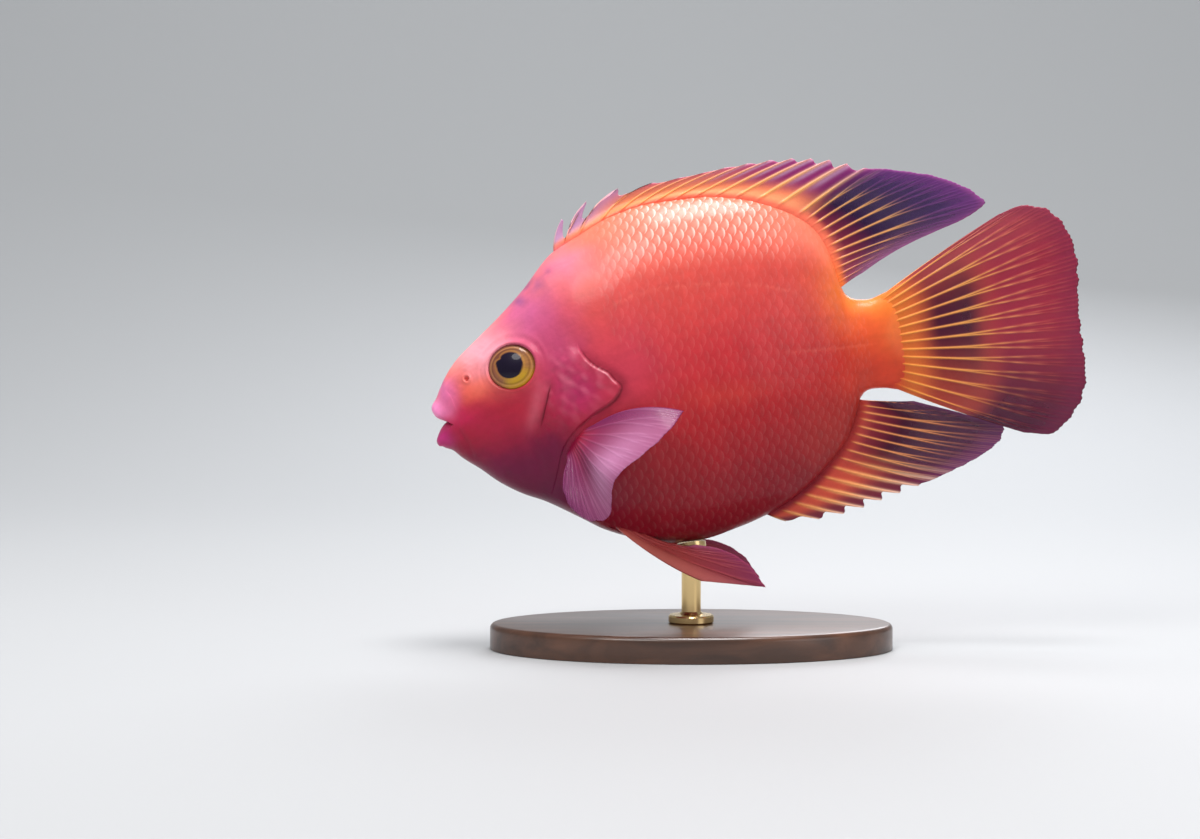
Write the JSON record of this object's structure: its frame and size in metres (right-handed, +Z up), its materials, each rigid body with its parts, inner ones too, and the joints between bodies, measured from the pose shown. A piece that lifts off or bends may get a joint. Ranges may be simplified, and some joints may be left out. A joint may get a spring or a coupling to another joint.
{
  "type": "fish",
  "caption": "Still display model of a blood parrot cichlid: deep rounded body, beak-like mouth, spread fins with raised rays, held nose down over an oval base by one short rod",
  "frame": {"origin": "centre of the underside of the base", "axes": "+Z up; +X the fish's length, from its head to its tail fin; +Y to the fish's right, its left side faces -Y"},
  "size_m": [0.1999, 0.08, 0.1505],
  "materials": {
    "skin_head": "satin",
    "skin_jaw": "satin",
    "skin_gill_cover": "satin",
    "skin_torso": "satin",
    "skin_tail": "satin",
    "fin_spiny": "satin",
    "fin_soft": "satin",
    "fin_tail": "satin",
    "fin_anal": "satin",
    "fin_pectoral": "satin",
    "fin_pelvic": "satin",
    "eye_glass": "polished",
    "base_wood": "satin",
    "rod_brass": "polished"
  },
  "bodies": {
    "root": {"head": "skin_head", "lower_jaw": "skin_jaw", "gill_cover_left": "skin_gill_cover", "gill_cover_right": "skin_gill_cover", "torso": "skin_torso", "tail": "skin_tail", "dorsal_fin_spiny": "fin_spiny", "dorsal_fin_soft": "fin_soft", "caudal_fin": "fin_tail", "anal_fin": "fin_anal", "pectoral_fin_left": "fin_pectoral", "pectoral_fin_right": "fin_pectoral", "pelvic_fin_left": "fin_pelvic", "pelvic_fin_right": "fin_pelvic", "eye_left": "eye_glass", "eye_right": "eye_glass", "stand_base": "base_wood", "stand_rod": "rod_brass"}
  },
  "joints": []
}
